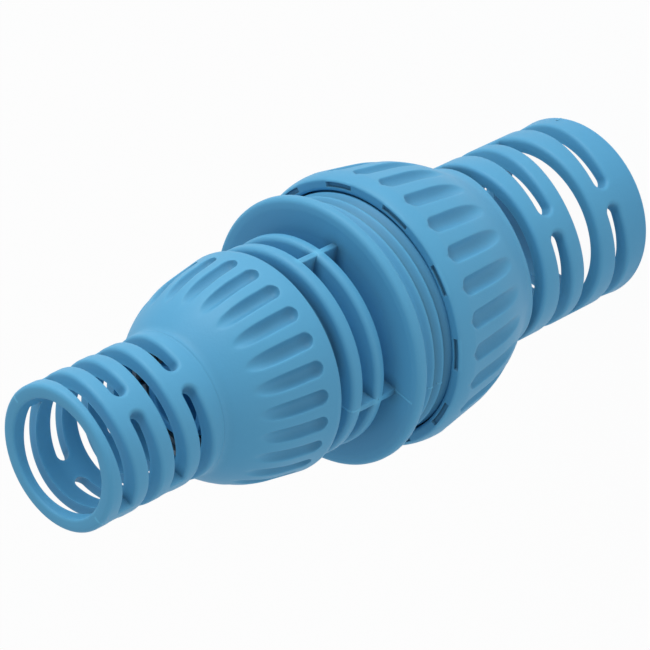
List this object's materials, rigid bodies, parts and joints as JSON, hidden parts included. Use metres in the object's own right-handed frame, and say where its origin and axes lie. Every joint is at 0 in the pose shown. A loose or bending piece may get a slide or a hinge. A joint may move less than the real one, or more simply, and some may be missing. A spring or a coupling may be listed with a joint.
{
  "type": "reducing hose coupling",
  "caption": "Reducing coupling that joins a thin and a thick garden hose: flanged centre body with two screw-on domed nuts and slotted bend sleeves.",
  "frame": {"origin": "centre of the bounding box's bottom, on the coupling's axis at the large sleeve's open end", "axes": "+Z along the coupling's axis from the large sleeve's open end to the small sleeve's; +X is the side that faces the viewer in the picture"},
  "size_m": [0.0482, 0.0482, 0.1233],
  "materials": {
    "blue_plastic": "satin moulded plastic",
    "white_plastic": "plain acetal plastic, unseen",
    "seal_rubber": "matt black rubber, unseen"
  },
  "bodies": {
    "body": {"centre_body": "blue_plastic", "small_seal": "seal_rubber", "large_seal": "seal_rubber"},
    "small_rings": {"small_grip_ring": "white_plastic", "small_thrust_ring": "white_plastic"},
    "small_nut": {"small_nut": "blue_plastic"},
    "large_rings": {"large_grip_ring": "white_plastic", "large_thrust_ring": "white_plastic"},
    "large_nut": {"large_nut": "blue_plastic"}
  },
  "joints": [
    {"name": "small_nut_travel", "type": "slide", "parent": "body", "child": "small_rings", "axis": [0, 0, 1], "range_m": [0, 0.00675]},
    {"name": "small_nut_turn", "type": "hinge", "parent": "small_rings", "child": "small_nut", "pos_m": [0, 0, 0.09], "axis": [0, 0, 1], "range_deg": [0, 1080]},
    {"name": "large_nut_travel", "type": "slide", "parent": "body", "child": "large_rings", "axis": [0, 0, -1], "range_m": [0, 0.00675]},
    {"name": "large_nut_turn", "type": "hinge", "parent": "large_rings", "child": "large_nut", "pos_m": [0, 0, 0.045], "axis": [0, 0, -1], "range_deg": [0, 1080]}
  ],
  "couplings": [
    {"joint": "small_nut_travel", "follows": "small_nut_turn", "m_per_rad": 0.0003581},
    {"joint": "large_nut_travel", "follows": "large_nut_turn", "m_per_rad": 0.0003581}
  ]
}
